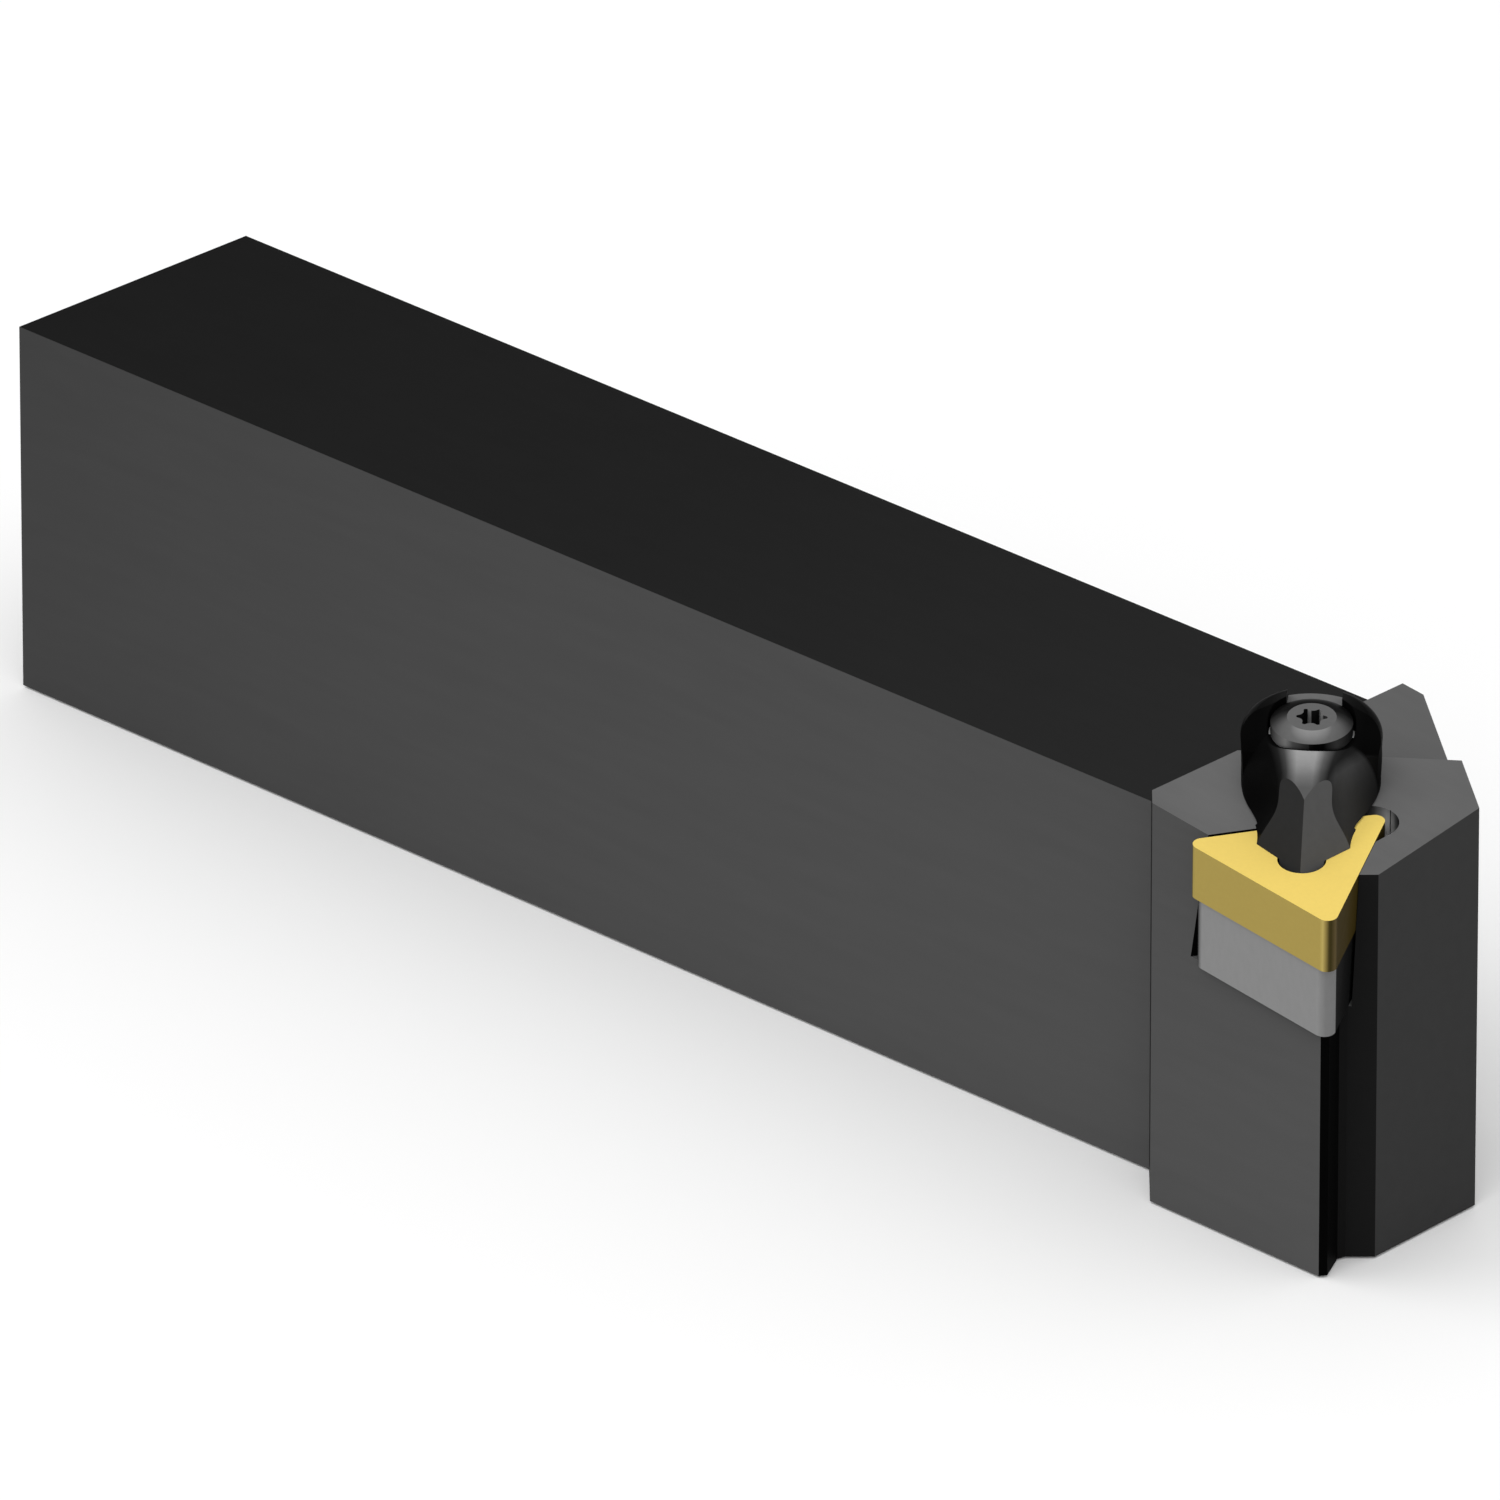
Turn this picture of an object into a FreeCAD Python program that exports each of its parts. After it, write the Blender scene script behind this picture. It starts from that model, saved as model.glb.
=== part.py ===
import FreeCAD
import Part
import math
import os
import Sketcher

# Left-hand turning tool holder with a top clamp and a negative triangular insert.
# The frame: origin in the middle of the shank's base face, +X along the shank to the cutting
# head, +Z up from the base, -Y the side on which the insert's nose stands out.

SIZES = {
    # the bar
    "shank_height": 31.75,
    "shank_width": 25.4,
    "shank_length": 127.2,
    "functional_length": 152.4,
    "functional_width": 31.75,
    "tool_height": 31.75,
    "lead_angle": 91.0,
    "side_rake": 6.0,
    "back_rake": 6.0,
    # plan of the head, from the shank's rear end and the near face of the shank
    "edge_overhang": 1.95,
    "nose_overhang": 2.55,
    "corner_facet": 0.7,
    "under_insert_length": 3.0,
    "notch_length": 0.75,
    "notch_angle": 78.0,
    "front_facet": 2.3,
    "front_facet_angle": 45.0,
    "front_width": 12.2,
    "front_angle": 4.2,
    "far_angle": 34.4,
    # decks on the head; the front one is flush with the insert's top face
    "deck_drop": 3.1,
    "deck_edge_back": 14.9,
    # the insert and its pocket
    "inscribed_circle": 9.525,
    "insert_thickness": 4.76,
    "insert_hole": 3.81,
    "nose_radius": 0.8,
    "rear_wall_gap": 0.3,
    "front_wall_gap": 0.05,
    "relief_radius": 2.26,
    "relief_from_corner": 2.0,
    "relief_shift": 0.1,
    # the shim and its screw
    "shim_thickness": 6.35,
    "shim_inset": 0.2,
    "shim_radius": 0.9,
    "shim_hole": 3.9,
    "shim_screw": 3.5,
    "shim_screw_head": 5.6,
    "shim_screw_sink": 0.6,
    "shim_screw_reach": 7.0,
    "shim_screw_rim": 0.3,
    "screw_tip": 0.5,
    "shim_socket": 2.0,
    "shim_socket_depth": 1.2,
    "thread_runout": 1.0,
    # the clamp screw
    "clamp_angle": 48.4,
    "screw_back": 10.7,
    "screw_thread": 5.0,
    "screw_reach": 11.0,
    "screw_hole_depth": 14.0,
    "head_width": 6.44,
    "head_flat": 3.86,
    "head_rim_height": 5.76,
    "head_dome_rise": 0.08,
    "head_top_height": 6.2,
    "socket_width": 2.45,
    "socket_depth": 1.7,
    # the clamp
    "hump_radius": 5.5,
    "hump_height": 6.2,
    "hump_taper": 0.1,
    "hump_round_depth": 2.0,
    "hump_round_width": 1.0,
    "hump_round_rise": 0.37,
    "hump_crown_inset": 2.1,
    "hump_crown_drop": 0.25,
    "wing_top_behind": 2.0,
    "wing_foot_ahead": 1.5,
    "wing_foot_drop": 2.5,
    "wing_front_rise": 0.57,
    "slot_floor": 4.75,
    "slot_width": 4.34,
    "bore_play": 0.2,
    "head_play": 0.22,
    "pin_play": 0.15,
    "pin_reach": 2.0,
    "pad_lift": 0.03,
    "belly_lift": 0.2,
    "heel_gap": 0.3,
    "heel_lift": 0.3,
    "ridge_reach": 1.9,
    "facet_lean_angle": 45.0,
    "facet_slope": 0.729,
    "pad_length": 4.5,
    # the spring
    "spring_wire": 0.6,
    "spring_turns": 4.0,
    "spring_play": 0.15,
    "spring_recess": 1.0,
    "spring_sink": 3.0,
    "thread_play": 0.05,
    "seat_play": 0.02,
}

doc = FreeCAD.newDocument("turning_tool_holder")
sheet = doc.addObject("Spreadsheet::Sheet", "Sizes")
for row, (alias, value) in enumerate(SIZES.items(), start=1):
    sheet.set("A%d" % row, alias)
    sheet.set("B%d" % row, str(value))
    sheet.setAlias("B%d" % row, alias)
doc.recompute()


def size(alias):
    """Value of a named size, read back from the sheet."""
    return float(getattr(sheet, alias))


def bind(feature, prop, expression):
    """Tie a property to cells of the sheet; a bare word is one cell."""
    words = expression.replace("*", " * ").replace("+", " + ").replace("-", " - ").split()
    cells = ["Sizes." + word if word in SIZES else word for word in words]
    feature.setExpression(prop, " ".join(cells))


def vector(x, y, z=0.0):
    return FreeCAD.Vector(x, y, z)


def direction(degrees):
    """Unit vector in plan at an angle from +X."""
    angle = math.radians(degrees)
    return vector(math.cos(angle), math.sin(angle))


def new_body(label, placement=None):
    body = doc.addObject("PartDesign::Body", label)
    body.Label = label
    if placement is not None:
        body.Placement = placement
    return body


def new_sketch(body, name, plane="XY_Plane", offset=None):
    """A sketch on one of the body's own origin planes, moved by an offset."""
    sketch = body.newObject("Sketcher::SketchObject", name)
    support = [part for part in body.Origin.OriginFeatures if part.Role == plane][0]
    sketch.AttachmentSupport = [(support, "")]
    sketch.MapMode = "FlatFace"
    if offset is not None:
        sketch.AttachmentOffset = offset
    return sketch


def add_outline(sketch, points):
    """A closed outline of straight lines through the points."""
    first = sketch.GeometryCount
    count = len(points)
    for index in range(count):
        start = vector(*points[index])
        end = vector(*points[(index + 1) % count])
        sketch.addGeometry(Part.LineSegment(start, end), False)
    for index in range(count):
        following = first + (index + 1) % count
        sketch.addConstraint(Sketcher.Constraint("Coincident", first + index, 2, following, 1))


def arched(start, end, rise):
    """An arc that bulges to the left of the straight line from start to end."""
    chord = end - start
    crown = (start + end) * 0.5 + vector(-chord.y, chord.x).normalize() * rise
    return Part.Arc(start, crown, end)


def add_chain(sketch, points):
    """An open chain of straight lines through the points."""
    for start, end in zip(points, points[1:]):
        sketch.addGeometry(Part.LineSegment(vector(*start), vector(*end)), False)


def add_circle(sketch, centre, diameter):
    """A circle whose diameter is an expression on the sheet."""
    index = sketch.addGeometry(Part.Circle(vector(*centre), vector(0, 0, 1), 1.0), False)
    constraint = sketch.addConstraint(Sketcher.Constraint("Diameter", index, 2.0))
    bind(sketch, "Constraints[%d]" % constraint, diameter)


def add_pad(body, sketch, name, length, reverse=False):
    pad = body.newObject("PartDesign::Pad", name)
    pad.Profile = sketch
    pad.Reversed = reverse
    bind(pad, "Length", length)
    return pad


def add_pocket(body, sketch, name, length, reverse=False, midplane=False):
    pocket = body.newObject("PartDesign::Pocket", name)
    pocket.Profile = sketch
    pocket.Reversed = reverse
    pocket.Midplane = midplane
    bind(pocket, "Length", length)


def add_revolution(body, sketch, name):
    """A turned form round the sketch's own vertical axis."""
    turned = body.newObject("PartDesign::Revolution", name)
    turned.Profile = sketch
    turned.ReferenceAxis = (sketch, ["V_Axis"])
    turned.Angle = 360.0


def add_edge_fillet(body, base, name, edges, radius):
    fillet = body.newObject("PartDesign::Fillet", name)
    fillet.Base = (base, edges)
    bind(fillet, "Radius", radius)


def upright_edges(shape, corners):
    """Names of the edges along local Z whose two ends stand on the same plan corner."""
    found = []
    for index, edge in enumerate(shape.Edges, start=1):
        for x, y in corners:
            if all(math.hypot(end.X - x, end.Y - y) < TOUCHING for end in edge.Vertexes):
                found.append("Edge%d" % index)
    return found


# How far a cutting shape reaches past everything, how far one stands out of the stock that it
# cuts, and how close two points are taken as one
REACH = 200.0
OVERCUT = 1.0
TOUCHING = 0.01

# Places that the pieces share
rear_end = -size("shank_length") / 2.0
near_face = -size("shank_width") / 2.0
far_face = size("shank_width") / 2.0
insert_side = size("inscribed_circle") * math.sqrt(3.0)
insert_inradius = size("inscribed_circle") / 2.0
pocket_depth = "insert_thickness + shim_thickness"
spring_bore = "screw_thread + spring_wire * 2 + spring_play * 4"

# The rake plane leans down towards the nose: back rake along X, side rake along Y.
rake_normal = vector(
    math.tan(math.radians(size("back_rake"))),
    -math.tan(math.radians(size("side_rake"))),
    1.0,
)
edge_turn = math.radians(size("lead_angle") - 90.0)
bisector = math.radians(30.0) + edge_turn
long_edge = vector(math.cos(edge_turn), -math.sin(edge_turn))
long_edge.z = -(rake_normal.x * long_edge.x + rake_normal.y * long_edge.y)
rake_normal.normalize()
long_edge.normalize()
across_edge = rake_normal.cross(long_edge)
sharp_nose = vector(
    rear_end + size("functional_length") + size("nose_radius") * (2.0 * math.cos(bisector) - 1.0),
    far_face - size("functional_width") - size("nose_radius") * (2.0 * math.sin(bisector) - 1.0),
    size("tool_height"),
)

# Pocket frame: origin on the insert's top face at its middle, x along the cutting edge to the
# nose, y across it into the head, z out of the rake face.
insert_middle = sharp_nose - long_edge * (insert_side / 2.0) + across_edge * insert_inradius
pocket_frame = FreeCAD.Placement(
    insert_middle, FreeCAD.Rotation(long_edge, across_edge, rake_normal, "ZXY")
)
# Clamp frame: the same origin and z, x from the screw towards the insert's hole.
clamp_turn = FreeCAD.Placement(
    vector(0, 0), FreeCAD.Rotation(vector(0, 0, 1), -size("clamp_angle"))
)
clamp_frame = pocket_frame.multiply(clamp_turn)


def lifted(frame, height, x=0.0):
    """The frame moved along its own x and by a height along its own z."""
    return frame.multiply(FreeCAD.Placement(vector(x, 0, height), FreeCAD.Rotation()))


def triangle(inset):
    """Corners of the insert's triangle, drawn in by an inset on each side."""
    inradius = insert_inradius - inset
    half_side = inradius * math.sqrt(3.0)
    return [(-half_side, -inradius), (half_side, -inradius), (0.0, 2.0 * inradius)]


def six_lobe(sketch, width):
    """A six-lobed socket outline: rounded lobes joined by tangent hollow arcs."""
    root_share = 0.71
    lobe_share = 0.155
    tip = width / 2.0
    root = root_share * tip
    lobe = lobe_share * tip
    lobe_at = tip - lobe
    both = math.sqrt(3.0) * lobe_at
    hollow = (lobe_at**2 + root**2 - both * root - lobe**2) / (both + 2.0 * lobe - 2.0 * root)
    hollow_at = root + hollow
    for step in range(6):
        angle = math.radians(60.0 * step)
        arcs = []
        lobe_centre = vector(lobe_at * math.cos(angle), lobe_at * math.sin(angle))
        joints = []
        for side in (-1.0, 1.0):
            turned = angle + side * math.radians(30.0)
            hollow_centre = vector(hollow_at * math.cos(turned), hollow_at * math.sin(turned))
            towards = (hollow_centre - lobe_centre).normalize()
            joints.append(lobe_centre + towards * lobe)
        far_tip = vector(tip * math.cos(angle), tip * math.sin(angle))
        arcs.append(Part.Arc(joints[0], far_tip, joints[1]))
        middle = angle + math.radians(30.0)
        inner = vector(root * math.cos(middle), root * math.sin(middle))
        turn = FreeCAD.Rotation(vector(0, 0, 1), 60.0)
        arcs.append(Part.Arc(joints[1], inner, turn.multVec(joints[0])))
        for arc in arcs:
            sketch.addGeometry(arc, False)


def make_holder_body():
    """Shank and head milled from one bar, with decks, pocket, relief and tapped holes."""
    body = new_body("holder_body")
    blank_height = "tool_height + functional_width / 2"
    head_start = rear_end + size("shank_length")
    blank = new_sketch(body, "BlankPlan")
    along = direction(90.0 - size("lead_angle"))
    clear_of_edge = size("edge_overhang") / math.cos(edge_turn)
    edge_at_nose = sharp_nose.y + clear_of_edge
    step = near_face - edge_at_nose
    under = 210.0 - size("lead_angle")
    slope = math.tan(edge_turn)
    side_step = (step - (sharp_nose.x - head_start) * slope) / (1.0 - slope)
    corner_a = vector(head_start + side_step, near_face - side_step)
    corner_b_x = rear_end + size("functional_length") - size("nose_overhang")
    corner_b = vector(corner_b_x, edge_at_nose + (sharp_nose.x - corner_b_x) * slope)
    corner_c = corner_b + direction(under - 60.0) * size("corner_facet")
    corner_d = corner_c + direction(under) * size("under_insert_length")
    corner_e = corner_d + direction(size("notch_angle")) * size("notch_length")
    corner_f = corner_e + direction(size("front_facet_angle")) * size("front_facet")
    corner_g = corner_f + direction(90.0 + size("front_angle")) * size("front_width")
    far_run = (far_face - corner_g.y) / math.tan(math.radians(size("far_angle")))
    corner_h = vector(corner_g.x - far_run, far_face)
    outline = [vector(rear_end, near_face), vector(head_start, near_face)]
    outline += [corner_a, corner_b, corner_c, corner_d, corner_e, corner_f, corner_g, corner_h]
    outline.append(vector(rear_end, far_face))
    add_outline(blank, [(point.x, point.y) for point in outline])
    add_pad(body, blank, "Blank", blank_height)

    # The shank's top face ends in a 45 degree ramp up to the head.
    profile = new_sketch(body, "ShankTop", "XZ_Plane")
    rise = size("tool_height") + size("functional_width") / 2.0
    top = size("shank_height")
    behind = rear_end - OVERCUT
    ramp = [(behind, top), (head_start, top), (head_start + rise, top + rise), (behind, top + rise)]
    add_outline(profile, ramp)
    add_pocket(body, profile, "ShankTopCut", "shank_width * 4", midplane=True)

    front_deck = new_sketch(body, "FrontDeck", offset=clamp_frame)
    add_outline(front_deck, [(-REACH, -REACH), (REACH, -REACH), (REACH, REACH), (-REACH, REACH)])
    add_pocket(body, front_deck, "FrontDeckCut", blank_height, reverse=True)

    rear_deck = new_sketch(body, "RearDeck", offset=clamp_frame)
    edge = -size("deck_edge_back")
    add_outline(rear_deck, [(-REACH, -REACH), (edge, -REACH), (edge, REACH), (-REACH, REACH)])
    add_pocket(body, rear_deck, "RearDeckCut", "deck_drop")

    # The pocket is the insert's triangle with a gap to each wall, open towards the near side.
    pocket = new_sketch(body, "InsertPocket", offset=pocket_frame)
    apex_x = (size("front_wall_gap") - size("rear_wall_gap")) / math.sqrt(3.0)
    apex_y = 2.0 * insert_inradius + size("front_wall_gap") + size("rear_wall_gap")
    mouth = insert_inradius + 2.0 * size("edge_overhang") + size("shim_thickness")
    half_mouth = (apex_y + mouth) / math.sqrt(3.0)
    walls = [(apex_x, apex_y), (apex_x - half_mouth, -mouth), (apex_x + half_mouth, -mouth)]
    add_outline(pocket, walls)
    add_pocket(body, pocket, "InsertPocketCut", pocket_depth)

    # A round relief clears the insert's far corner; its cutter entered along the pocket.
    relief = new_sketch(body, "CornerRelief", offset=pocket_frame)
    radius = size("relief_radius")
    middle = vector(-size("relief_shift"), 2.0 * insert_inradius - size("relief_from_corner"))
    left = middle - vector(radius, 0)
    right = middle + vector(radius, 0)
    down = vector(0, insert_inradius)
    crown = middle + vector(0, radius)
    relief.addGeometry(Part.Arc(right, crown, left), False)
    relief.addGeometry(Part.LineSegment(left, left - down), False)
    relief.addGeometry(Part.LineSegment(left - down, right - down), False)
    relief.addGeometry(Part.LineSegment(right - down, right), False)
    add_pocket(body, relief, "CornerReliefCut", pocket_depth)

    screw_hole = new_sketch(body, "ClampScrewHole", offset=clamp_frame)
    add_circle(screw_hole, (-size("screw_back"), 0.0), "screw_thread + thread_play * 2")
    add_pocket(body, screw_hole, "ClampScrewHoleCut", "screw_hole_depth")
    spring_seat = new_sketch(body, "SpringSeat", offset=clamp_frame)
    add_circle(spring_seat, (-size("screw_back"), 0.0), spring_bore)
    add_pocket(body, spring_seat, "SpringSeatCut", "spring_sink")

    floor = lifted(pocket_frame, -size("insert_thickness") - size("shim_thickness"))
    shim_hole = new_sketch(body, "ShimScrewHole", offset=floor)
    add_circle(shim_hole, (0.0, 0.0), "shim_screw + thread_play * 2")
    add_pocket(body, shim_hole, "ShimScrewHoleCut", "shim_screw_reach + thread_runout")


def make_insert():
    """Negative triangular insert: upright sides, rounded corners, cylindrical hole."""
    body = new_body("insert", pocket_frame)
    plan = new_sketch(body, "InsertPlan")
    corners = triangle(0.0)
    add_outline(plan, corners)
    blank = add_pad(body, plan, "InsertBlank", "insert_thickness", reverse=True)
    doc.recompute()
    edges = upright_edges(blank.Shape, corners)
    add_edge_fillet(body, blank, "InsertCorners", edges, "nose_radius")
    hole = new_sketch(body, "InsertHole")
    add_circle(hole, (0.0, 0.0), "insert_hole")
    add_pocket(body, hole, "InsertHoleCut", "insert_thickness")


def make_shim():
    """Carbide seat with the insert's outline drawn in, and a countersunk hole."""
    top = lifted(pocket_frame, -size("insert_thickness"))
    body = new_body("shim", top)
    plan = new_sketch(body, "ShimPlan")
    corners = triangle(size("shim_inset"))
    add_outline(plan, corners)
    blank = add_pad(body, plan, "ShimBlank", "shim_thickness", reverse=True)
    doc.recompute()
    edges = upright_edges(blank.Shape, corners)
    add_edge_fillet(body, blank, "ShimCorners", edges, "shim_radius")
    profile = new_sketch(body, "ShimBore", "XZ_Plane")
    hole = size("shim_hole") / 2.0
    head = size("shim_screw_head") / 2.0 + size("bore_play")
    sink = size("shim_screw_sink")
    depth = size("shim_thickness") + OVERCUT
    bore = [(0.0, OVERCUT), (head, OVERCUT), (head, -sink), (hole, -sink - (head - hole))]
    bore += [(hole, -depth), (0.0, -depth)]
    add_outline(profile, bore)
    groove = body.newObject("PartDesign::Groove", "ShimBoreCut")
    groove.Profile = profile
    groove.ReferenceAxis = (profile, ["V_Axis"])
    groove.Angle = 360.0


def make_shim_screw():
    """Countersunk socket screw from the shim's face into the holder."""
    rim = size("shim_screw_rim")
    sunk = size("insert_thickness") + size("shim_screw_sink") - rim
    body = new_body("shim_screw", lifted(pocket_frame, -sunk))
    profile = new_sketch(body, "ShimScrewProfile", "XZ_Plane")
    head = size("shim_screw_head") / 2.0
    shank = size("shim_screw") / 2.0
    cone = head - shank
    reach = size("shim_thickness") + size("shim_screw_reach") - size("shim_screw_sink")
    tip = size("screw_tip")
    turned = [(0.0, 0.0), (head, 0.0), (head, -rim), (shank, -rim - cone)]
    turned += [(shank, -reach + tip), (shank - tip, -reach), (0.0, -reach)]
    add_outline(profile, turned)
    add_revolution(body, profile, "ShimScrewTurned")
    socket = new_sketch(body, "ShimSocket")
    six_lobe(socket, size("shim_socket"))
    add_pocket(body, socket, "ShimSocketCut", "shim_socket_depth")


def make_clamp_screw():
    """Low-headed six-lobe screw on the clamp's inclined axis."""
    body = new_body("clamp_screw", lifted(clamp_frame, 0.0, -size("screw_back")))
    profile = new_sketch(body, "ClampScrewProfile", "XZ_Plane")
    rim = size("head_width") / 2.0
    flat = size("head_flat") / 2.0
    thread = size("screw_thread") / 2.0
    seat = size("slot_floor") + size("seat_play")
    rim_height = size("head_rim_height")
    top = size("head_top_height")
    end = -size("screw_reach")
    tip = size("screw_tip")
    dome = arched(vector(flat, top), vector(rim, rim_height), size("head_dome_rise"))
    profile.addGeometry(dome, False)
    chain = [(rim, rim_height), (rim, seat), (thread, seat), (thread, end + tip)]
    chain += [(thread - tip, end), (0.0, end), (0.0, top), (flat, top)]
    add_chain(profile, chain)
    add_revolution(body, profile, "ClampScrewTurned")
    top_frame = FreeCAD.Placement(vector(0, 0, top), FreeCAD.Rotation(vector(0, 0, 1), 90.0))
    socket = new_sketch(body, "ClampSocket", offset=top_frame)
    six_lobe(socket, size("socket_width"))
    add_pocket(body, socket, "ClampSocketCut", "socket_depth")


def neck_section(body, name, along, half_width, flank, crown):
    """One cross-section of the clamp's neck: flat belly and one smooth curve over the top."""
    offset = FreeCAD.Placement(vector(0, 0, along), FreeCAD.Rotation())
    sketch = new_sketch(body, name, "YZ_Plane", offset)
    belly = size("pad_lift")
    right = [(half_width, belly)] + flank
    left = [(-y, z) for y, z in reversed(right)]
    curve = Part.BSplineCurve()
    curve.interpolate([vector(*point) for point in right + [(0.0, crown)] + left])
    sketch.addGeometry(curve, False)
    base = Part.LineSegment(vector(-half_width, belly), vector(half_width, belly))
    sketch.addGeometry(base, False)
    return sketch


def make_clamp():
    """Top clamp: round hump with wings beside the screw, arched neck, faceted nose and pin."""
    body = new_body("clamp", clamp_frame)
    back = -size("screw_back")
    radius = size("hump_radius")
    height = size("hump_height")
    belly = size("belly_lift")
    foot_radius = radius - size("hump_taper")

    # Hump: turned round the screw's axis, then cut down in front of its two wings.
    screw_axis = FreeCAD.Placement(vector(back, 0, 0), FreeCAD.Rotation())
    hump = new_sketch(body, "HumpProfile", "XZ_Plane", screw_axis)
    side_top = vector(radius, height - size("hump_round_depth"))
    brow = vector(radius - size("hump_round_width"), height - size("hump_crown_drop"))
    hump.addGeometry(arched(brow, side_top, size("hump_round_rise")), False)
    chain = [(brow.x, brow.y), (radius - size("hump_crown_inset"), height), (0.0, height)]
    chain += [(0.0, belly), (foot_radius, belly), (side_top.x, side_top.y)]
    add_chain(hump, chain)
    add_revolution(body, hump, "Hump")
    front = new_sketch(body, "WingFront", "XZ_Plane")
    wing_top = vector(back - size("wing_top_behind"), height)
    wing_foot = vector(back + size("wing_foot_ahead"), height - size("wing_foot_drop"))
    front.addGeometry(arched(wing_top, wing_foot, size("wing_front_rise")), False)
    chain = [(wing_foot.x, wing_foot.y), (wing_foot.x, 0.0), (REACH, 0.0)]
    chain += [(REACH, height * 2.0), (wing_top.x, height * 2.0), (wing_top.x, wing_top.y)]
    add_chain(front, chain)
    add_pocket(body, front, "WingFrontCut", "hump_radius * 4", midplane=True)

    # Neck: a loft from the hump's middle over the saddle to the nose. Each station has its place
    # in front of the screw as a share of the distance to the insert's middle, its half width at
    # the belly, its flank as points across and up, and the height of its crown. Widths are shares
    # of the hump's radius, and heights of the hump's height.
    stations = [
        (-0.075, 0.982, [(0.989, 0.323), (0.955, 0.629), (0.827, 0.806), (0.600, 0.895)], 0.935),
        (0.093, 0.973, [(0.960, 0.323), (0.836, 0.613), (0.600, 0.774), (0.364, 0.855)], 0.887),
        (0.206, 0.936, [(0.891, 0.290), (0.773, 0.532), (0.582, 0.726), (0.327, 0.839)], 0.874),
        (0.336, 0.873, [(0.773, 0.274), (0.645, 0.581), (0.509, 0.726), (0.291, 0.831)], 0.866),
        (0.593, 0.704, [(0.564, 0.177), (0.415, 0.500), (0.349, 0.694), (0.218, 0.774)], 0.802),
        (0.794, 0.658, [(0.585, 0.137), (0.455, 0.355), (0.318, 0.532), (0.173, 0.626)], 0.661),
        (1.206, 0.618, [(0.527, 0.056), (0.418, 0.129), (0.291, 0.177), (0.164, 0.218)], 0.242),
    ]
    sections = []
    for index, (along, half_width, flank, crown) in enumerate(stations):
        name = "NeckSection%d" % index
        place = back - back * along
        flank = [(across * radius, up * height) for across, up in flank]
        section = neck_section(body, name, place, half_width * radius, flank, crown * height)
        sections.append(section)
    neck = body.newObject("PartDesign::AdditiveLoft", "Neck")
    neck.Profile = sections[0]
    neck.Sections = sections[1:]
    neck.Ruled = False
    belly_plane = FreeCAD.Placement(vector(0, 0, belly), FreeCAD.Rotation())
    hollow = new_sketch(body, "Belly", offset=belly_plane)
    rear = back - radius - OVERCUT
    pad = -size("pad_length")
    add_outline(hollow, [(rear, -REACH), (pad, -REACH), (pad, REACH), (rear, REACH)])
    add_pocket(body, hollow, "BellyCut", "belly_lift")

    # The pin that pulls the insert back into its corner.
    pin = new_sketch(body, "Pin", offset=belly_plane)
    add_circle(pin, (0.0, 0.0), "insert_hole - pin_play * 2")
    add_pad(body, pin, "PinRound", "pin_reach + belly_lift", reverse=True)

    # Heel behind the riser of the holder's rear deck.
    heel_front = -size("deck_edge_back") - size("heel_gap")
    heel = new_sketch(body, "Heel", offset=belly_plane)
    half_chord = math.sqrt(foot_radius**2 - (heel_front - back) ** 2)
    start = vector(heel_front, half_chord)
    end = vector(heel_front, -half_chord)
    heel.addGeometry(Part.Arc(start, vector(back - foot_radius, 0), end), False)
    heel.addGeometry(Part.LineSegment(end, start), False)
    drop = "deck_drop + belly_lift - heel_lift"
    add_pad(body, heel, "HeelBlock", drop, reverse=True)

    # Two planes meet in a ridge along the nose.
    turn = FreeCAD.Rotation(vector(1, 0, 0), size("facet_lean_angle"))
    lean = FreeCAD.Placement(vector(0, 0), turn)
    facets = new_sketch(body, "NoseFacets", "YZ_Plane", lean)
    ridge = size("ridge_reach") / math.sqrt(2.0)
    wide = 2.0 * radius
    fall = size("facet_slope") * wide
    facet_cut = [(0.0, ridge), (wide, ridge - fall), (wide, ridge + wide)]
    facet_cut += [(-wide, ridge + wide), (-wide, ridge - fall)]
    add_outline(facets, facet_cut)
    add_pocket(body, facets, "NoseFacetsCut", "hump_radius * 8", midplane=True)

    # Seat for the screw's head, open to the rear by a slot between the wings.
    floor = FreeCAD.Placement(vector(0, 0, size("slot_floor")), FreeCAD.Rotation())
    seat = new_sketch(body, "HeadSeat", offset=floor)
    add_circle(seat, (back, 0.0), "head_width + head_play * 2")
    add_pocket(body, seat, "HeadSeatCut", "hump_height", reverse=True)
    slot = new_sketch(body, "RearSlot", offset=floor)
    half = size("slot_width") / 2.0
    add_outline(slot, [(rear, -half), (back, -half), (back, half), (rear, half)])
    add_pocket(body, slot, "RearSlotCut", "hump_height", reverse=True)

    bore = new_sketch(body, "ScrewBore", offset=floor)
    add_circle(bore, (back, 0.0), "screw_thread + bore_play * 2")
    add_pocket(body, bore, "ScrewBoreCut", "hump_height")
    recess = new_sketch(body, "SpringRecess", offset=belly_plane)
    add_circle(recess, (back, 0.0), spring_bore)
    add_pocket(body, recess, "SpringRecessCut", "spring_recess", reverse=True)


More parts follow.
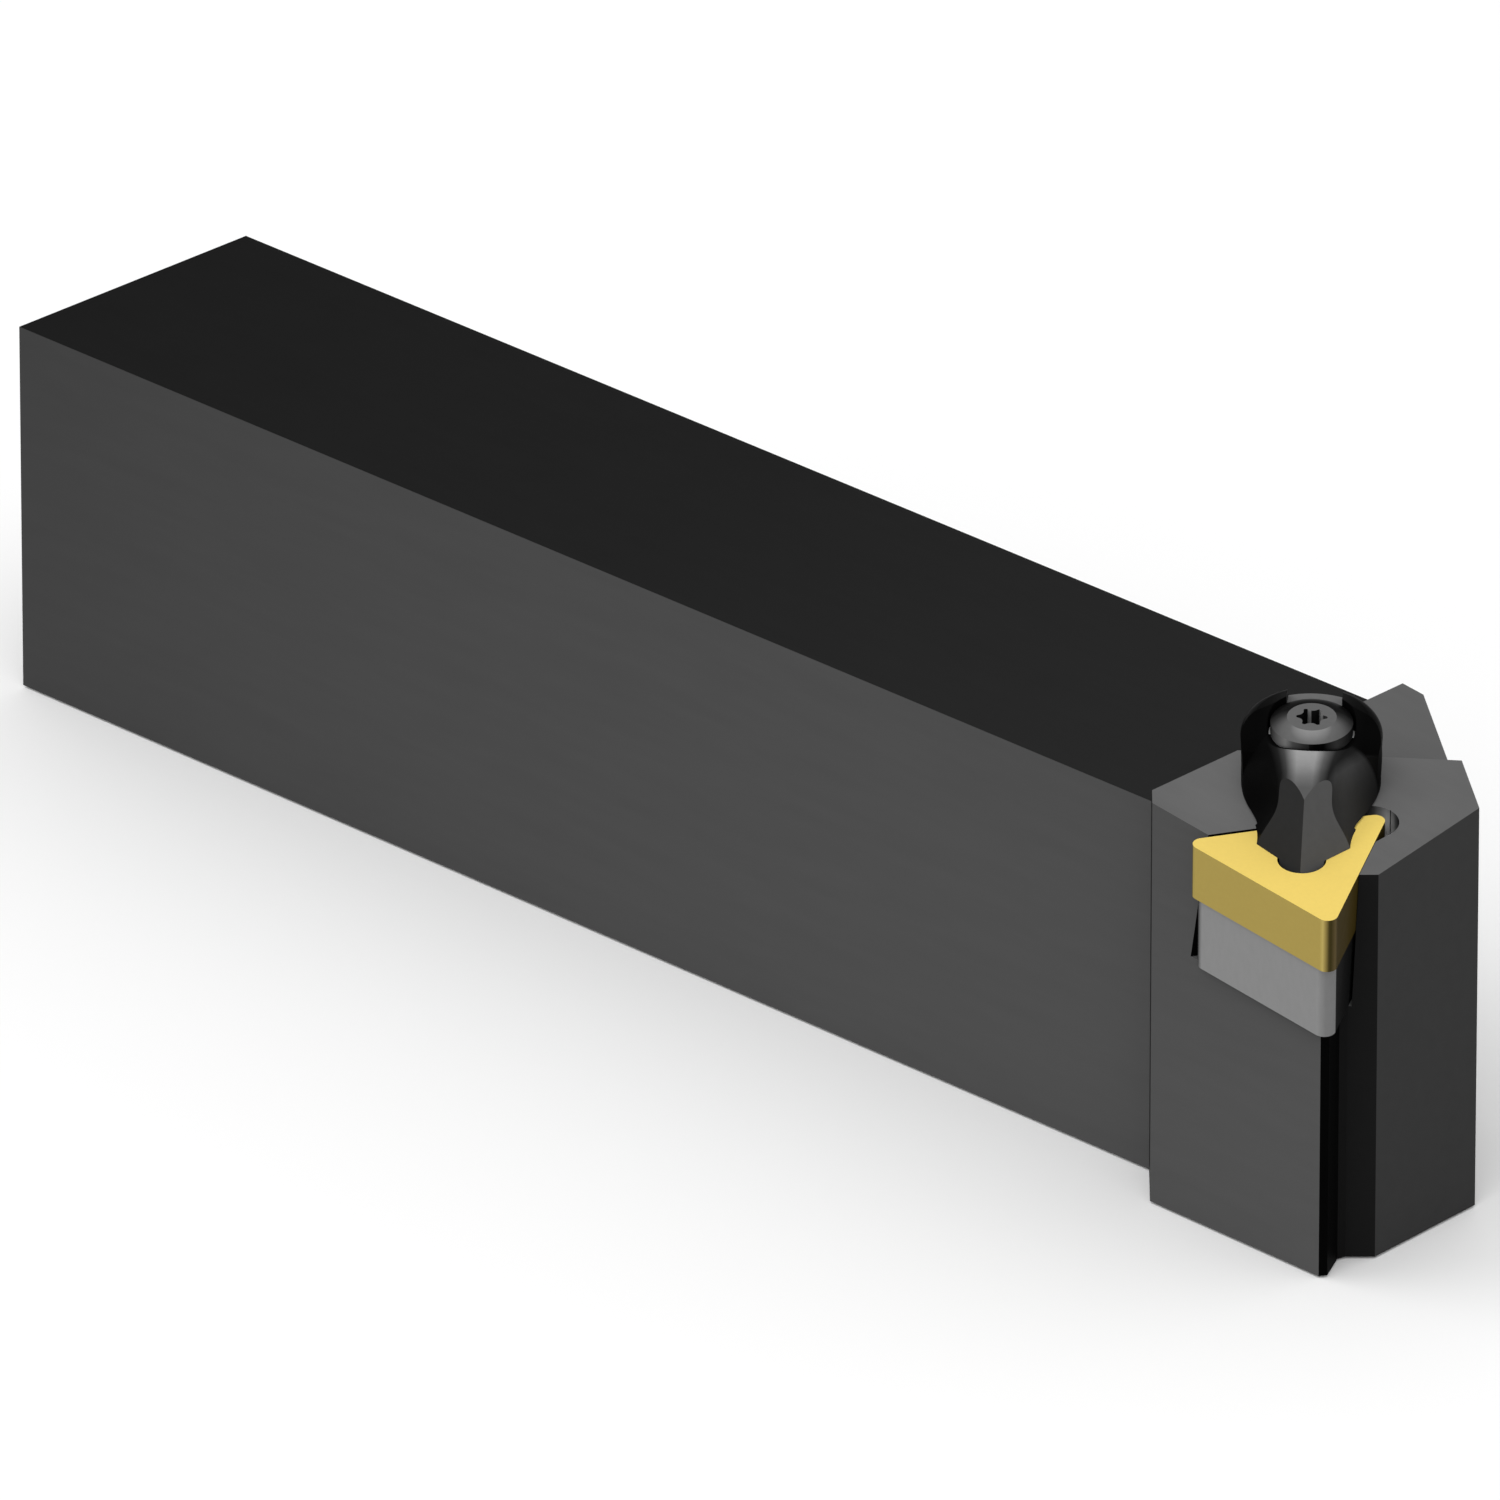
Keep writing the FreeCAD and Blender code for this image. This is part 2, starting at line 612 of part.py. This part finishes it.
def make_clamp_spring():
    """Compression spring round the screw, from the holder's counterbore to the clamp."""
    bottom = size("seat_play") - size("spring_sink")
    body = new_body("clamp_spring", lifted(clamp_frame, bottom, -size("screw_back")))
    wire = size("spring_wire")
    mean = size("screw_thread") / 2.0 + size("spring_play") + wire / 2.0
    top = size("belly_lift") + size("spring_recess") - size("seat_play")
    travel = top - bottom - wire
    section = new_sketch(body, "WireSection", "XZ_Plane")
    middle = vector(mean, wire / 2.0)
    corners = [middle + direction(22.5 + 45.0 * step) * (wire / 2.0) for step in range(8)]
    add_outline(section, [(corner.x, corner.y) for corner in corners])
    coil = body.newObject("PartDesign::AdditiveHelix", "Coil")
    coil.Profile = section
    coil.ReferenceAxis = (section, ["V_Axis"])
    coil.Mode = 1
    coil.Pitch = travel / size("spring_turns")
    coil.Turns = size("spring_turns")
    coil.Height = travel


make_holder_body()
make_insert()
make_shim()
make_shim_screw()
make_clamp()
make_clamp_screw()
make_clamp_spring()
doc.recompute()

bodies = [item for item in doc.Objects if item.isDerivedFrom("PartDesign::Body")]
for item in doc.Objects:
    if "Invalid" in item.State or "Error" in item.State:
        raise RuntimeError("failed feature: %s %s" % (item.Name, item.State))
for body in bodies:
    shape = body.Shape
    if shape.isNull() or not shape.isValid() or not shape.Solids:
        raise RuntimeError("bad solid: " + body.Label)

os.makedirs("parts", exist_ok=True)
for body in bodies:
    body.Shape.exportStep(os.path.join("parts", body.Label + ".step"))
    print(body.Label, len(body.Shape.Solids), round(body.Shape.Volume, 3))
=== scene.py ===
import math

import bpy
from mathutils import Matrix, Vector


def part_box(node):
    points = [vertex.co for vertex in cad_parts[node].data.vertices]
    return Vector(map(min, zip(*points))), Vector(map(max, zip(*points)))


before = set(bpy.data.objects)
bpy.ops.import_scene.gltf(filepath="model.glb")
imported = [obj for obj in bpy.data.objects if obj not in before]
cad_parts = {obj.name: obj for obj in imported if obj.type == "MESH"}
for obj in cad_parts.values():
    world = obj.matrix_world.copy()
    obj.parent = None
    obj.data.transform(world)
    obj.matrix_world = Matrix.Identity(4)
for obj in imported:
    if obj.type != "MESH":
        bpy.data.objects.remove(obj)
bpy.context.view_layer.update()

# The photograph: a very long lens, 25 degrees above the horizon and 45 degrees round from the
# near side, on a 36 mm square sensor.
CAMERA_AZIMUTH = math.radians(45.0)
CAMERA_ELEVATION = math.radians(25.0)
CAMERA_LENS = 726.7
CAMERA_SENSOR = 36.0
CAMERA_DISTANCE = 2.448
CAMERA_AIM = Vector((-0.02048, 0.02728, -0.00477))

# The insert's and the clamp's directions: out of the rake face, along the clamp from its screw
# to the nose, and across it. Their origin is the middle of the insert's top face.
RAKE_NORMAL = Vector((0.10396, -0.10396, 0.98913))
CLAMP_ALONG = Vector((0.63896, -0.75515, -0.14653))
CLAMP_ACROSS = Vector((0.76218, 0.64725, -0.01208))
INSERT_MIDDLE = Vector((0.081305, -0.014195, 0.033111))
SCREW_BEHIND_MIDDLE = 0.0107
SCREW_AXIS = INSERT_MIDDLE - CLAMP_ALONG * SCREW_BEHIND_MIDDLE
RELIEF_AXIS = Vector((0.08142, -0.00671, 0.03389))

# The direction in plan that runs from the tool's rear near corner to its far front corner.
SIDEWAYS = Vector((0.70711, 0.70711, 0.0))
MM = 0.001

# Sizes of the places that carry painted light and shade of their own.
RELIEF_REACH = 2.3 * MM
SEAT_REACH = 3.55 * MM
SEAT_RIM = (3.15 * MM, 3.33 * MM)
HUMP_FRONT = (-8.9 * MM, -9.3 * MM)
SLOT_HEIGHTS = (4.6 * MM, 4.9 * MM)
SLOT_REAR_TO_FRONT = (-20.0 * MM, -13.2 * MM)
DECK_HEIGHTS = (-2.5 * MM, -0.6 * MM)
HEAD_FLAT = 1.93 * MM
HEAD_RIM = 3.22 * MM
SOCKET_REACH = 1.4 * MM

# Which way the nose's two facets face, with the painted light tone of each.
NOSE_FACETS = (((-0.0245, -0.87218, 0.48857), 44), ((0.8735, -0.10959, 0.47434), 81))

# How far a surface turns to a direction: facing it, square to it, or facing away.
FACING = (0.9, 1.1)
UPRIGHT = (-0.3, 0.3)
DOWNWARD = (-1.1, -0.3)

# Places along the bar: the shank's rear end, its middle, the head's start and the nose.
REAR_END = -0.0636
BAR_MIDDLE = 0.0
HEAD_START = 0.0636
NOSE_END = 0.0889

BUMP_STRENGTH = 0.15

# Light and floor.
SOFT_LIGHT = 0.82
LAMP_SIZE = 1.2
LAMP_AIM = Vector((0.05, 0.0, 0.02))
FLOOR_REACH = 3.0
FLOOR_GAP = 0.0002
FLOOR_WHITE = 0.93
FLOOR_WHITENING = 0.06
WHITE = (1.0, 1.0, 1.0, 1.0)

holder_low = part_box("holder_body")[0]


def grey(level):
    """Linear colour of an even grey given as an 8-bit screen value."""
    share = level / 255.0
    linear = ((share + 0.055) / 1.055) ** 2.4 if share > 0.04045 else share / 12.92
    return (linear, linear, linear, 1.0)


def screen(red, green, blue):
    """Linear colour of 8-bit screen values."""
    return (grey(red)[0], grey(green)[0], grey(blue)[0], 1.0)


def grey_share(share):
    """A plain factor as a colour, for multiplying."""
    return (share, share, share, 1.0)


class Paint:
    """A material's node tree, with short calls for the nodes that the finishes share."""

    def __init__(self, name, roughness, specular, metallic=0.0):
        self.material = bpy.data.materials.new(name)
        self.material.use_nodes = True
        self.tree = self.material.node_tree
        self.shader = self.tree.nodes["Principled BSDF"]
        self.shader.inputs["Roughness"].default_value = roughness
        self.shader.inputs["Specular IOR Level"].default_value = specular
        self.shader.inputs["Metallic"].default_value = metallic
        coordinates = self.node("ShaderNodeTexCoord")
        self.normal = coordinates.outputs["Normal"]
        self.place = coordinates.outputs["Object"]

    def node(self, kind, **settings):
        made = self.tree.nodes.new(kind)
        for key, value in settings.items():
            setattr(made, key, value)
        return made

    def fill(self, socket, value):
        """Link an output to a socket, or set a plain value there."""
        if isinstance(value, bpy.types.NodeSocket):
            self.tree.links.new(value, socket)
        else:
            socket.default_value = value

    def math(self, operation, first, second=0.0):
        made = self.node("ShaderNodeMath", operation=operation)
        self.fill(made.inputs[0], first)
        self.fill(made.inputs[1], second)
        return made.outputs["Value"]

    def vector(self, operation, first, second, output="Vector"):
        made = self.node("ShaderNodeVectorMath", operation=operation)
        self.fill(made.inputs[0], first)
        self.fill(made.inputs[1], second)
        return made.outputs[output]

    def turned(self, direction):
        """How far the surface faces a direction, from -1 to 1."""
        return self.vector("DOT_PRODUCT", self.normal, direction, "Value")

    def reach(self, origin, direction):
        """Distance from an origin along a direction, in metres."""
        away = self.vector("SUBTRACT", self.place, origin)
        return self.vector("DOT_PRODUCT", away, direction, "Value")

    def radius(self, origin, axis):
        """Distance from an axis through an origin, in metres."""
        away = self.vector("SUBTRACT", self.place, origin)
        flat = self.vector("SUBTRACT", away, self.vector("PROJECT", away, axis))
        return self.vector("LENGTH", flat, (0.0, 0.0, 0.0), "Value")

    def share(self, value, low, high):
        """The value between low and high as a share from 0 to 1."""
        made = self.node("ShaderNodeMapRange", clamp=True)
        self.fill(made.inputs["Value"], value)
        made.inputs["From Min"].default_value = low
        made.inputs["From Max"].default_value = high
        return made.outputs["Result"]

    def within(self, value, low, high):
        """One where the value lies between low and high, and zero elsewhere."""
        above = self.math("GREATER_THAN", value, low)
        return self.math("MULTIPLY", above, self.math("LESS_THAN", value, high))

    def both(self, first, second):
        """Where two masks hold at once."""
        return self.math("MULTIPLY", first, second)

    def curve(self, value, stops, steps=False):
        """A colour for each value; a stop is a value with a screen grey or a linear colour."""
        low = stops[0][0]
        high = stops[-1][0]
        ramp = self.node("ShaderNodeValToRGB")
        ramp.color_ramp.interpolation = "CONSTANT" if steps else "LINEAR"
        elements = ramp.color_ramp.elements
        elements.remove(elements[1])
        for index, (where, colour) in enumerate(stops):
            element = elements.new((where - low) / (high - low)) if index else elements[0]
            element.color = colour if isinstance(colour, tuple) else grey(colour)
        self.fill(ramp.inputs["Fac"], self.share(value, low, high))
        return ramp.outputs["Color"]

    def mix(self, factor, first, second, blend="MIX"):
        """Two colours mixed by a factor; each may be a socket or a plain value."""
        made = self.node("ShaderNodeMix", data_type="RGBA", blend_type=blend)
        for index, value in ((0, factor), (6, first), (7, second)):
            self.fill(made.inputs[index], value)
        return made.outputs[2]

    def noise(self, scale, detail=3.0, stretch=(1.0, 1.0, 1.0)):
        """Noise in the object's own metres, drawn out along an axis by a small stretch."""
        mapping = self.node("ShaderNodeMapping")
        self.fill(mapping.inputs["Vector"], self.place)
        mapping.inputs["Scale"].default_value = stretch
        made = self.node("ShaderNodeTexNoise")
        made.inputs["Scale"].default_value = scale
        made.inputs["Detail"].default_value = detail
        self.fill(made.inputs["Vector"], mapping.outputs["Vector"])
        return made.outputs["Fac"]

    def finish(self, colour, grain, variation, depth, wander, roughness):
        """Base colour varied by a grain, the grain's relief, and a roughness that wanders."""
        varied = self.curve(grain, [(0.3, grey_share(1.0 - variation)), (0.7, grey_share(1.0))])
        self.fill(self.shader.inputs["Base Color"], self.mix(1.0, colour, varied, "MULTIPLY"))
        bump = self.node("ShaderNodeBump")
        bump.inputs["Strength"].default_value = BUMP_STRENGTH
        bump.inputs["Distance"].default_value = depth
        self.fill(bump.inputs["Height"], grain)
        self.fill(self.shader.inputs["Normal"], bump.outputs["Normal"])
        smooth, rough = roughness
        wandering = self.curve(
            self.noise(wander), [(0.3, grey_share(smooth)), (0.7, grey_share(rough))]
        )
        self.fill(self.shader.inputs["Roughness"], wandering)
        return self.material


def holder_steel():
    """Blackened and milled steel, its tones painted light and shade by surface direction: a dark
    flat top, greyer sides and a lighter raked head.
    """
    paint = Paint("holder_steel", roughness=0.42, specular=0.004)
    along_bar = paint.reach((0.0, 0.0, 0.0), (1.0, 0.0, 0.0))
    height = paint.reach((0.0, 0.0, 0.0), (0.0, 0.0, 1.0))
    out_of_rake = paint.reach(INSERT_MIDDLE, RAKE_NORMAL)
    upright = paint.turned(RAKE_NORMAL)

    # The sides are painted lighter towards the nose and darker towards the top, as painted light
    # and shade.
    side = paint.curve(along_bar, [(REAR_END, 67), (-0.0200, 74), (0.0300, 79), (NOSE_END, 82)])
    painted_upward_shade = paint.curve(height, [(0.004, grey_share(1.0)), (0.030, grey_share(0.9))])
    base = paint.mix(1.0, side, painted_upward_shade, "MULTIPLY")

    # The milled faces at the front are told apart by how they turn in plan, each painted its own
    # light and shade, and black as painted shadow in the notch under the insert.
    front = paint.curve(
        paint.turned((0.0, 1.0, 0.0)),
        [(-1.0, 27), (-0.62, 5), (-0.36, 22), (-0.07, 57), (0.28, 8), (0.7, 60), (1.0, 60)],
        steps=True,
    )
    base = paint.mix(paint.within(paint.turned((1.0, 0.0, 0.0)), 0.5, 1.1), base, front)

    # The slanted step where the head stands out from the shank is painted dark as shade, like the
    # top.
    step = paint.share(paint.turned(SIDEWAYS), -0.99, -0.998)
    base = paint.mix(step, base, grey(28))

    # The round relief behind the insert's far corner carries a painted highlight by which way its
    # wall turns, and painted shade towards its mouth.
    relief = paint.curve(
        paint.turned(SIDEWAYS),
        [
            (-1.0, 40), (-0.88, 135), (-0.76, 240), (-0.58, 255), (-0.37, 187), (-0.16, 113),
            (0.3, 46), (1.0, 40),
        ],
    )
    sinking = paint.curve(out_of_rake, [(-1.6 * MM, grey_share(1.0)), (0.0, grey_share(0.28))])
    relief = paint.mix(1.0, relief, sinking, "MULTIPLY")
    round_wall = paint.both(
        paint.within(upright, *UPRIGHT),
        paint.within(paint.radius(RELIEF_AXIS, RAKE_NORMAL), 0.0, RELIEF_REACH),
    )
    base = paint.mix(round_wall, base, relief)

    # The top of the shank, painted darker than the sides as shade, and lighter towards the head.
    top = paint.curve(along_bar, [(REAR_END, 23), (BAR_MIDDLE, 28), (HEAD_START, 36)])
    base = paint.mix(paint.share(paint.turned((0.0, 0.0, 1.0)), 0.6, 0.8), base, top)

    # The two decks lean with the rake, which tells them from the shank's level top.
    # The decks are painted lighter than the top as a highlight, and lighter still near the clamp
    # to offset its shade.
    near_clamp = paint.curve(
        paint.radius(SCREW_AXIS, RAKE_NORMAL), [(6.5 * MM, 111), (12.0 * MM, 101)]
    )
    deck = paint.mix(paint.share(out_of_rake, *DECK_HEIGHTS), grey(96), near_clamp)
    base = paint.mix(paint.share(upright, 0.9915, 0.998), base, deck)
    grain = paint.noise(900.0, detail=4.0, stretch=(0.12, 1.0, 1.0))
    return paint.finish(
        base, grain, variation=0.05, depth=0.01 * MM, wander=160.0, roughness=(0.41, 0.46)
    )


def insert_coating():
    """Gold coloured coating on ground carbide."""
    paint = Paint("insert_coating", roughness=0.45, specular=0.02)
    # The sides carry painted light and shade by which way they turn, with a painted highlight
    # round the nose.
    side = paint.curve(
        paint.turned(SIDEWAYS),
        [
            (-1.0, screen(68, 60, 30)), (-0.93, screen(158, 140, 76)),
            (-0.71, screen(165, 145, 77)), (-0.47, screen(184, 164, 94)),
            (-0.24, screen(151, 132, 74)), (0.145, screen(65, 56, 27)),
            (0.34, screen(54, 47, 21)), (0.77, screen(87, 74, 46)),
            (0.95, screen(56, 46, 17)), (1.0, screen(56, 46, 17)),
        ],
    )
    face = paint.share(paint.turned(RAKE_NORMAL), 0.3, 0.6)
    # The top is painted lighter towards the far corner, to offset the clamp's shade.
    top = paint.curve(
        paint.radius(RELIEF_AXIS, RAKE_NORMAL),
        [(2.0 * MM, screen(255, 225, 118)), (8.0 * MM, screen(238, 209, 110))],
    )
    base = paint.mix(face, side, top)
    grain = paint.noise(3000.0)
    return paint.finish(
        base, grain, variation=0.03, depth=0.004 * MM, wander=400.0, roughness=(0.4, 0.52)
    )


def shim_carbide():
    """Ground grey carbide."""
    paint = Paint("shim_carbide", roughness=0.42, specular=0.02)
    # Its tones are painted light and shade by which way each face turns.
    base = paint.curve(
        paint.turned(SIDEWAYS),
        [
            (-1.0, 36), (-0.9, 95), (-0.74, 133), (-0.66, 136), (-0.16, 125), (0.08, 118),
            (0.93, 117), (0.95, 20), (1.0, 20),
        ],
    )
    grain = paint.noise(2500.0, stretch=(1.0, 1.0, 0.3))
    return paint.finish(
        base, grain, variation=0.04, depth=0.004 * MM, wander=350.0, roughness=(0.38, 0.48)
    )


def clamp_steel():
    """Blackened forging with a painted highlight on its saddle and nose facets."""
    paint = Paint("clamp_steel", roughness=0.38, specular=0.004)
    along = paint.reach(INSERT_MIDDLE, CLAMP_ALONG)
    across = paint.reach(INSERT_MIDDLE, CLAMP_ACROSS)
    height = paint.reach(INSERT_MIDDLE, RAKE_NORMAL)
    upright = paint.turned(RAKE_NORMAL)

    # Saddle: a painted highlight, bright on the middle line, narrowing and fading towards the
    # ridge.
    forward = paint.share(along, -9.0 * MM, -5.0 * MM)
    narrowing = paint.math("ADD", 0.83, paint.math("MULTIPLY", forward, 0.34))
    crown = paint.curve(
        paint.math("MULTIPLY", across, narrowing),
        [
            (-2.8 * MM, 6), (-2.3 * MM, 30), (-1.85 * MM, 68), (-0.92 * MM, 160), (0.6 * MM, 162),
            (1.3 * MM, 100), (2.0 * MM, 40), (3.0 * MM, 4),
        ],
    )
    fading = paint.curve(
        along,
        [
            (-7.2 * MM, grey_share(1.0)), (-5.4 * MM, grey_share(0.74)),
            (-4.2 * MM, grey_share(0.44)), (-3.2 * MM, grey_share(0.28)),
        ],
    )
    crown = paint.mix(1.0, crown, fading, "MULTIPLY")

    # Flank on the tip's side: a painted sheen that reaches further back the lower it lies.
    flank = paint.curve(
        across,
        [
            (1.4 * MM, 8), (2.2 * MM, 58), (2.9 * MM, 62), (3.4 * MM, 60), (4.3 * MM, 48),
            (5.1 * MM, 36), (5.5 * MM, 26), (6.0 * MM, 12),
        ],
    )
    outward = paint.math("SUBTRACT", across, 3.1 * MM)
    leaning = paint.math("ADD", along, paint.math("MULTIPLY", outward, 1.8))
    shoulder = paint.curve(
        leaning,
        [
            (-10.0 * MM, grey_share(0.1)), (-8.2 * MM, grey_share(0.3)),
            (-6.9 * MM, grey_share(1.0)), (-5.5 * MM, grey_share(0.75)),
            (-2.0 * MM, grey_share(0.6)),
        ],
    )
    flank = paint.mix(1.0, flank, shoulder, "MULTIPLY")
    flank = paint.mix(1.0, flank, grey(8), "LIGHTEN")
    base = paint.mix(1.0, crown, flank, "LIGHTEN")

    # Facets are told apart from the flanks by how they turn, each with its painted light tone.
    for facet_normal, tone in NOSE_FACETS:
        base = paint.mix(paint.share(paint.turned(facet_normal), 0.99, 0.998), base, grey(tone))

    # Hump and wings, black but for a little painted sheen beside the screw.
    beside = paint.math("ABSOLUTE", across)
    wings = paint.curve(beside, [(2.2 * MM, 22), (2.7 * MM, 16), (3.3 * MM, 10), (4.2 * MM, 7)])
    base = paint.mix(paint.share(along, *HUMP_FRONT), base, wings)

    # Floor of the slot behind the screw, painted light like the decks.
    level = paint.within(upright, *FACING)
    slot = paint.both(paint.within(height, *SLOT_HEIGHTS), level)
    slot = paint.both(slot, paint.within(along, *SLOT_REAR_TO_FRONT))
    base = paint.mix(slot, base, grey(107))

    # Seat of the screw's head, dark but for a painted glint on its rim at either side.
    radius = paint.radius(SCREW_AXIS, RAKE_NORMAL)
    base = paint.mix(paint.within(radius, 0.0, SEAT_REACH), base, grey(8))
    beside_screw = paint.within(paint.reach(SCREW_AXIS, CLAMP_ALONG), -0.5 * MM, 0.5 * MM)
    glint = paint.both(beside_screw, paint.both(paint.within(radius, *SEAT_RIM), level))
    base = paint.mix(glint, base, grey(190))

    # Underside.
    base = paint.mix(paint.within(upright, *DOWNWARD), base, grey(12))
    grain = paint.noise(1500.0)
    return paint.finish(
        base, grain, variation=0.06, depth=0.006 * MM, wander=300.0, roughness=(0.34, 0.46)
    )


def clamp_screw_steel():
    """Turned and heat treated screw steel with a domed rim, its tones painted light and shade."""
    paint = Paint("clamp_screw_steel", roughness=0.36, specular=0.006)
    across = paint.reach(INSERT_MIDDLE, CLAMP_ACROSS)
    upright = paint.turned(RAKE_NORMAL)
    radius = paint.radius(SCREW_AXIS, RAKE_NORMAL)

    # Dome: a painted highlight, lighter towards the nose and falling off to its edge.
    lit_side = CLAMP_ALONG * 0.999 + CLAMP_ACROSS * 0.04
    towards = paint.math("DIVIDE", paint.reach(SCREW_AXIS, lit_side), radius)
    outward = paint.share(radius, HEAD_FLAT, HEAD_RIM)
    towards = paint.math("SUBTRACT", towards, paint.math("MULTIPLY", outward, 0.4))
    dome = paint.curve(
        towards,
        [
            (-1.0, 12), (-0.5, 14), (-0.2, 42), (0.0, 64), (0.3, 92), (0.6, 101), (0.8, 127),
            (1.0, 141),
        ],
    )
    # The flat top is painted a light grey, as painted light.
    flat = paint.within(radius, 0.0, HEAD_FLAT)
    base = paint.mix(flat, dome, grey(98))
    # The rim's side carries painted light and shade by which way it turns.
    rim = paint.curve(
        paint.turned(CLAMP_ACROSS),
        [
            (-1.0, 24), (-0.58, 116), (-0.4, 74), (0.02, 22), (0.12, 6), (0.35, 5), (0.65, 52),
            (1.0, 15),
        ],
    )
    steep = paint.within(upright, -1.1, 0.3)
    base = paint.mix(steep, base, rim)

    # Walls of the socket, with two columns of painted reflection.
    socket = paint.curve(
        across,
        [
            (-1.2 * MM, 20), (-0.42 * MM, 15), (-0.34 * MM, 135), (-0.14 * MM, 135),
            (-0.06 * MM, 23), (0.5 * MM, 23), (0.58 * MM, 140), (0.78 * MM, 140),
            (0.9 * MM, 45), (1.2 * MM, 60),
        ],
    )
    inside = paint.both(paint.within(radius, 0.0, SOCKET_REACH), paint.within(upright, -0.5, 0.5))
    base = paint.mix(inside, base, socket)
    grain = paint.noise(2000.0)
    return paint.finish(
        base, grain, variation=0.05, depth=0.004 * MM, wander=400.0, roughness=(0.32, 0.42)
    )


def shim_screw_steel():
    """Blackened screw steel."""
    paint = Paint("shim_screw_steel", roughness=0.38, specular=0.05)
    # Painted light and shade: faces turned up are lighter, faces turned down darker.
    base = paint.curve(paint.turned(RAKE_NORMAL), [(-1.0, 40), (0.3, 60), (1.0, 100)])
    grain = paint.noise(2000.0)
    return paint.finish(
        base, grain, variation=0.05, depth=0.004 * MM, wander=400.0, roughness=(0.34, 0.44)
    )


def spring_steel():
    """Bright drawn wire."""
    paint = Paint("spring_steel", roughness=0.3, specular=0.5, metallic=1.0)
    grain = paint.noise(2500.0)
    return paint.finish(
        grey(150), grain, variation=0.08, depth=0.004 * MM, wander=500.0, roughness=(0.26, 0.36)
    )


def dress(node, material):
    """Put a finish into every material slot of a CAD node."""
    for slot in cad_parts[node].material_slots:
        slot.material = material


def make_world():
    """White to the eye and in reflections, and an even soft light for everything else."""
    world = bpy.data.worlds.new("studio")
    world.use_nodes = True
    bpy.context.scene.world = world
    tree = world.node_tree
    tree.nodes.clear()
    out = tree.nodes.new("ShaderNodeOutputWorld")
    mix = tree.nodes.new("ShaderNodeMixShader")
    for index, strength in ((1, SOFT_LIGHT), (2, 1.0)):
        background = tree.nodes.new("ShaderNodeBackground")
        background.inputs["Color"].default_value = WHITE
        background.inputs["Strength"].default_value = strength
        tree.links.new(background.outputs["Background"], mix.inputs[index])
    tree.links.new(seen_rays(tree), mix.inputs["Fac"])
    tree.links.new(mix.outputs["Shader"], out.inputs["Surface"])


def seen_rays(tree):
    """One for camera, glossy and transmission rays, and zero for the rest."""
    path = tree.nodes.new("ShaderNodeLightPath")
    seen = path.outputs["Is Camera Ray"]
    for kind in ("Is Glossy Ray", "Is Transmission Ray"):
        either = tree.nodes.new("ShaderNodeMath")
        either.operation = "MAXIMUM"
        tree.links.new(seen, either.inputs[0])
        tree.links.new(path.outputs[kind], either.inputs[1])
        seen = either.outputs["Value"]
    return seen


def make_floor():
    """A plain pale floor under the base face, a little whiter to the camera than it is lit."""
    mesh = bpy.data.meshes.new("floor")
    signs = ((-1, -1), (1, -1), (1, 1), (-1, 1))
    corners = [(x * FLOOR_REACH, y * FLOOR_REACH, 0.0) for x, y in signs]
    mesh.from_pydata(corners, [], [(0, 1, 2, 3)])
    floor = bpy.data.objects.new("floor", mesh)
    floor.location.z = holder_low.z - FLOOR_GAP
    bpy.context.scene.collection.objects.link(floor)
    material = bpy.data.materials.new("floor")
    material.use_nodes = True
    tree = material.node_tree
    shader = tree.nodes["Principled BSDF"]
    shader.inputs["Base Color"].default_value = grey_share(FLOOR_WHITE)
    shader.inputs["Roughness"].default_value = 0.9
    shader.inputs["Specular IOR Level"].default_value = 0.0
    path = tree.nodes.new("ShaderNodeLightPath")
    whiten = tree.nodes.new("ShaderNodeMath")
    whiten.operation = "MULTIPLY"
    whiten.inputs[1].default_value = FLOOR_WHITENING
    tree.links.new(path.outputs["Is Camera Ray"], whiten.inputs[0])
    shader.inputs["Emission Color"].default_value = WHITE
    tree.links.new(whiten.outputs["Value"], shader.inputs["Emission Strength"])
    mesh.materials.append(material)


def make_lamp(name, position, power):
    """A soft round lamp that looks at the head."""
    light = bpy.data.lights.new(name, "AREA")
    light.shape = "DISK"
    light.size = LAMP_SIZE
    light.energy = power
    lamp = bpy.data.objects.new(name, light)
    lamp.location = position
    lamp.rotation_mode = "QUATERNION"
    lamp.rotation_quaternion = (LAMP_AIM - position).to_track_quat("-Z", "Y")
    bpy.context.scene.collection.objects.link(lamp)


def make_camera():
    """The photograph's camera."""
    back = Vector((
        math.sin(CAMERA_AZIMUTH) * math.cos(CAMERA_ELEVATION),
        -math.cos(CAMERA_AZIMUTH) * math.cos(CAMERA_ELEVATION),
        math.sin(CAMERA_ELEVATION),
    ))
    data = bpy.data.cameras.new("photo_camera")
    data.sensor_width = CAMERA_SENSOR
    data.lens = CAMERA_LENS
    data.clip_start = 0.1
    data.clip_end = 20.0
    camera = bpy.data.objects.new("photo_camera", data)
    camera.location = CAMERA_AIM + back * CAMERA_DISTANCE
    camera.rotation_mode = "QUATERNION"
    camera.rotation_quaternion = (-back).to_track_quat("-Z", "Y")
    bpy.context.scene.collection.objects.link(camera)
    bpy.context.scene.camera = camera


make_camera()
make_world()
make_floor()
make_lamp("key", position=Vector((0.6, -0.9, 1.4)), power=6.0)
make_lamp("fill", position=Vector((-0.9, -0.7, 1.0)), power=4.0)

for node, finish in (
    ("holder_body", holder_steel),
    ("insert", insert_coating),
    ("shim", shim_carbide),
    ("shim_screw", shim_screw_steel),
    ("clamp", clamp_steel),
    ("clamp_screw", clamp_screw_steel),
    ("clamp_spring", spring_steel),
):
    dress(node, finish())

bpy.context.scene.view_settings.view_transform = "Standard"
